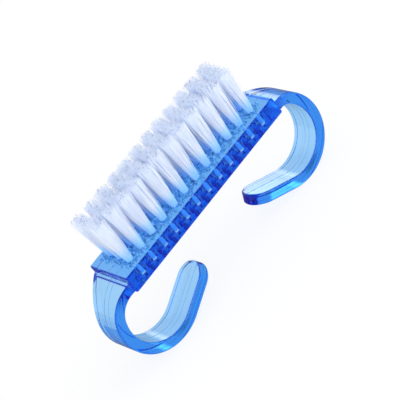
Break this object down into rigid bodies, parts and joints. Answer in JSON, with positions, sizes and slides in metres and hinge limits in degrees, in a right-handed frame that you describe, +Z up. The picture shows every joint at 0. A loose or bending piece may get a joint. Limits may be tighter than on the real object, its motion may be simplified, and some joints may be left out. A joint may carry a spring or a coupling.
{
  "type": "nail brush",
  "caption": "Nail brush with a clear blue moulded plate, stapled white bristle tufts on top and a curled finger hook at each end.",
  "frame": {"origin": "on the surface that the hooks stand on, under the middle of the plate", "axes": "+X along the plate, +Y across it, +Z up through the bristles"},
  "size_m": [0.084, 0.0172, 0.0435],
  "materials": {
    "body_plastic": "clear tinted plastic with a polished moulded surface",
    "bristle_nylon": "drawn nylon filament, trimmed ends",
    "anchor_metal": "flat drawn wire"
  },
  "bodies": {
    "root": {"brush_body": "body_plastic", "bristle_tuft_front_01": "bristle_nylon", "bristle_tuft_front_02": "bristle_nylon", "bristle_tuft_front_03": "bristle_nylon", "bristle_tuft_front_04": "bristle_nylon", "bristle_tuft_front_05": "bristle_nylon", "bristle_tuft_front_06": "bristle_nylon", "bristle_tuft_front_07": "bristle_nylon", "bristle_tuft_front_08": "bristle_nylon", "bristle_tuft_front_09": "bristle_nylon", "bristle_tuft_front_10": "bristle_nylon", "bristle_tuft_front_11": "bristle_nylon", "bristle_tuft_front_12": "bristle_nylon", "bristle_tuft_middle_01": "bristle_nylon", "bristle_tuft_middle_02": "bristle_nylon", "bristle_tuft_middle_03": "bristle_nylon", "bristle_tuft_middle_04": "bristle_nylon", "bristle_tuft_middle_05": "bristle_nylon", "bristle_tuft_middle_06": "bristle_nylon", "bristle_tuft_middle_07": "bristle_nylon", "bristle_tuft_middle_08": "bristle_nylon", "bristle_tuft_middle_09": "bristle_nylon", "bristle_tuft_middle_10": "bristle_nylon", "bristle_tuft_middle_11": "bristle_nylon", "bristle_tuft_middle_12": "bristle_nylon", "bristle_tuft_rear_01": "bristle_nylon", "bristle_tuft_rear_02": "bristle_nylon", "bristle_tuft_rear_03": "bristle_nylon", "bristle_tuft_rear_04": "bristle_nylon", "bristle_tuft_rear_05": "bristle_nylon", "bristle_tuft_rear_06": "bristle_nylon", "bristle_tuft_rear_07": "bristle_nylon", "bristle_tuft_rear_08": "bristle_nylon", "bristle_tuft_rear_09": "bristle_nylon", "bristle_tuft_rear_10": "bristle_nylon", "bristle_tuft_rear_11": "bristle_nylon", "bristle_tuft_rear_12": "bristle_nylon", "anchor_wires_front": "anchor_metal", "anchor_wires_middle": "anchor_metal", "anchor_wires_rear": "anchor_metal"}
  },
  "joints": []
}
